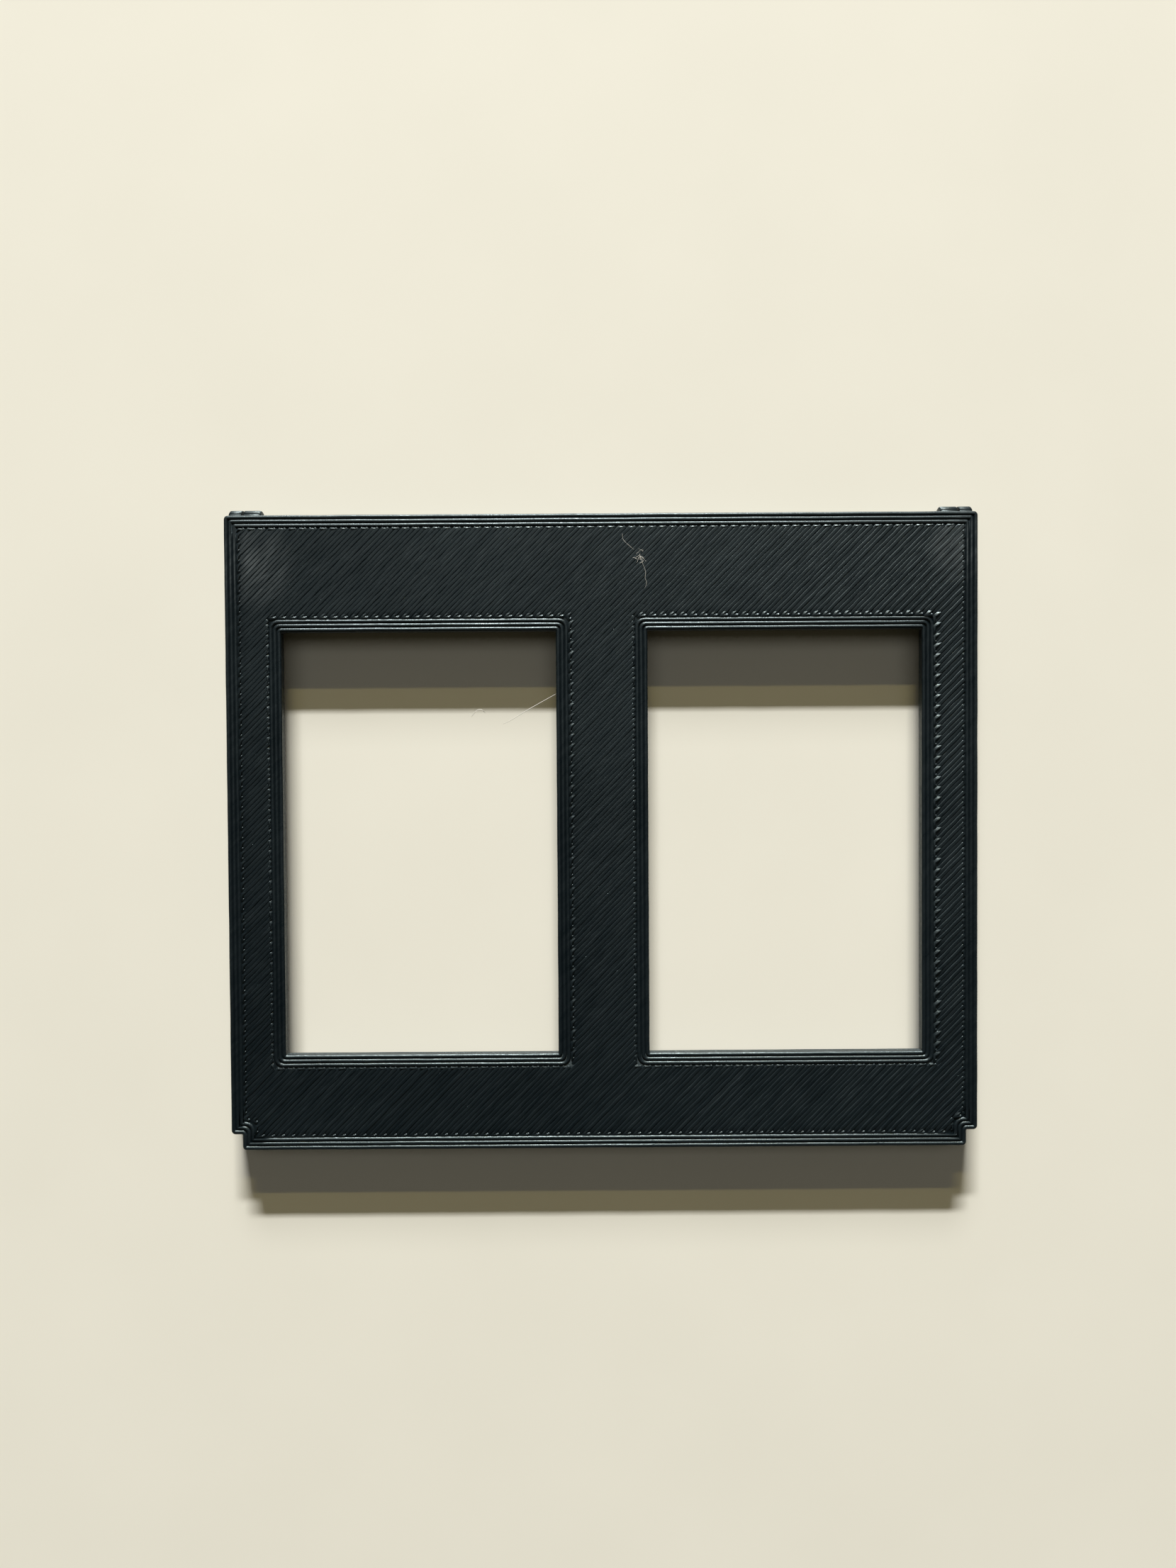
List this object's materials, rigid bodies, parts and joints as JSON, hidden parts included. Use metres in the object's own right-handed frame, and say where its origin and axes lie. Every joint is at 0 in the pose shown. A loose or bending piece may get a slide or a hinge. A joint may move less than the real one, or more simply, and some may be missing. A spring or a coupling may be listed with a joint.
{
  "type": "negative carrier",
  "caption": "Flat hinged negative carrier with two portrait film gates side by side, printed in dark plastic, with corner hinges along the top edge.",
  "frame": {"origin": "centre of the rear leaf's rear face", "axes": "+X right, across the two film gates; +Y along the film towards the hinge; +Z out of the front face"},
  "size_m": [0.074, 0.0636, 0.0034],
  "materials": {
    "front_leaf_plastic": "3D-printed PLA, blue-black, matte to semi-gloss, with visible extrusion lines",
    "rear_leaf_plastic": "3D-printed PLA, blue-black, matte to semi-gloss, with a smoother first layer on the rear face",
    "pin_steel": "cut steel wire"
  },
  "bodies": {
    "rear": {"rear_leaf": "rear_leaf_plastic", "hinge_pin_left": "pin_steel", "hinge_pin_right": "pin_steel"},
    "front": {"front_leaf": "front_leaf_plastic"}
  },
  "joints": [
    {"name": "leaf_hinge", "type": "hinge", "parent": "rear", "child": "front", "pos_m": [0, 0.03135, 0.00095], "axis": [-1, 0, 0], "range_deg": [0, 105]}
  ]
}
